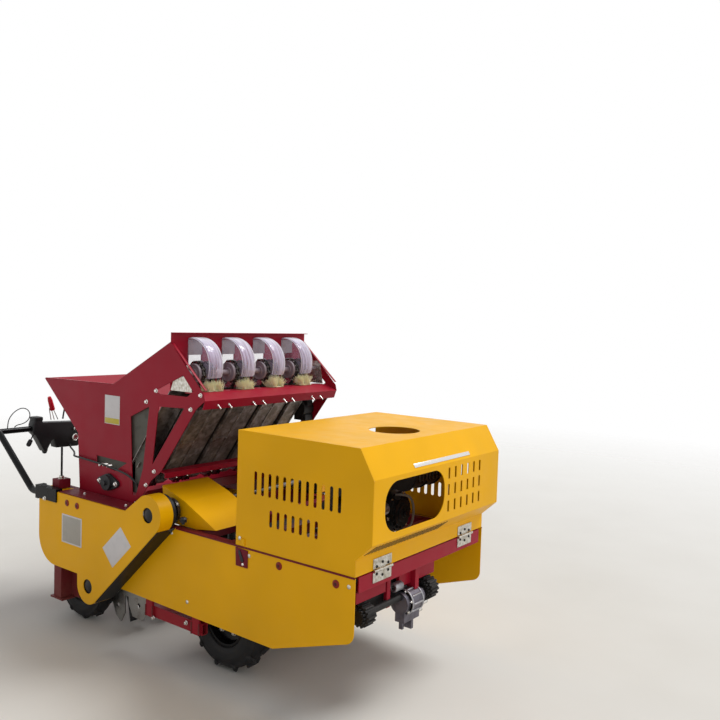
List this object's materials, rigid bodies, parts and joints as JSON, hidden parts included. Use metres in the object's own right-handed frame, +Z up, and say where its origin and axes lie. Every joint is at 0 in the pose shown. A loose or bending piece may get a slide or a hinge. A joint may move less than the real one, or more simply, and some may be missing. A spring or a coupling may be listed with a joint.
{
  "type": "garlic planter",
  "caption": "Walk-behind, engine-driven clove planter on wheels: seed hopper, cup elevators under clear hoods, planting beaks below and a hinged engine cover in front.",
  "frame": {"origin": "on the ground under the middle of the machine's bounding box", "axes": "+X forward, towards the engine cover's nose; +Y to the machine's left; +Z up"},
  "size_m": [2.62, 1.13, 1.429],
  "materials": {
    "crimson_paint": "satin powder coat",
    "dark_red_paint": "satin powder coat",
    "amber_paint": "satin powder coat",
    "zinc": "zinc plated",
    "galvanised": "galvanised sheet",
    "steel": "worn bright steel",
    "black_paint": "gloss powder coat",
    "black_steel": "oiled dark steel",
    "cast_iron": "grey casting",
    "casting": "rough casting",
    "engine_black": "black painted casting",
    "clear_plastic": "clear moulded",
    "grey_plastic": "moulded",
    "black_plastic": "moulded",
    "brush": "bristle",
    "black_rubber": "ribbed",
    "tyre": "matt"
  },
  "bodies": {
    "machine": {"back_panel": "crimson_paint", "base_rails": "dark_red_paint", "bearing_brackets": "zinc", "belt_guard": "amber_paint", "case_chains": "black_steel", "chain_cases": "amber_paint", "control_box": "black_plastic", "control_cables": "black_plastic", "control_levers": "black_plastic", "cross_angles": "crimson_paint", "cross_members": "dark_red_paint", "cup_chains": "grey_plastic", "drive_chains": "black_steel", "drive_flange": "cast_iron", "drop_tubes": "black_rubber", "elevator_board": "galvanised", "elevator_shafts": "grey_plastic", "engine_block": "engine_black", "front_beam": "crimson_paint", "front_wheels": "black_steel", "fuel_tank": "engine_black", "gear_case": "casting", "guide_rails": "crimson_paint", "handle_grips": "black_rubber", "handlebar": "black_paint", "hinge_leaves": "zinc", "hopper_bin": "crimson_paint", "hopper_sides": "crimson_paint", "leg_screws": "black_steel", "main_rails": "dark_red_paint", "metering_brushes": "brush", "metering_hoods": "clear_plastic", "metering_motor": "black_steel", "muffler": "black_steel", "planting_beaks": "black_rubber", "planting_plates": "steel", "planting_shaft": "steel", "recoil_starter": "steel", "seed_ducts": "galvanised", "shaft_bearings": "black_steel", "side_skirts": "amber_paint", "starter_motor": "casting", "transmission": "cast_iron", "upper_shaft": "steel", "wheel_legs": "dark_red_paint"},
    "engine_cover": {"cover_shell": "amber_paint", "cover_sides": "amber_paint", "cover_leaves": "zinc", "cover_latches": "dark_red_paint"},
    "drive_wheel_right": {"drive_tyre_right": "tyre", "drive_rim_right": "black_paint"},
    "drive_wheel_left": {"drive_tyre_left": "tyre", "drive_rim_left": "black_paint"},
    "rear_wheel_right": {"rear_tyre_right": "tyre", "rear_rim_right": "black_paint"},
    "rear_wheel_left": {"rear_tyre_left": "tyre", "rear_rim_left": "black_paint"}
  },
  "joints": [
    {"name": "cover_hinge", "type": "hinge", "parent": "machine", "child": "engine_cover", "pos_m": [1.246, 0, 0.5975], "axis": [0, 1, 0], "range_deg": [0, 85]},
    {"name": "drive_wheel_right_axle", "type": "hinge", "parent": "machine", "child": "drive_wheel_right", "pos_m": [0.477, -0.317, 0.215], "axis": [0, 1, 0], "continuous": true},
    {"name": "drive_wheel_left_axle", "type": "hinge", "parent": "machine", "child": "drive_wheel_left", "pos_m": [0.477, 0.317, 0.215], "axis": [0, 1, 0], "continuous": true},
    {"name": "rear_wheel_right_axle", "type": "hinge", "parent": "machine", "child": "rear_wheel_right", "pos_m": [-0.473, -0.39, 0.19], "axis": [0, 1, 0], "continuous": true},
    {"name": "rear_wheel_left_axle", "type": "hinge", "parent": "machine", "child": "rear_wheel_left", "pos_m": [-0.473, 0.39, 0.19], "axis": [0, 1, 0], "continuous": true}
  ]
}
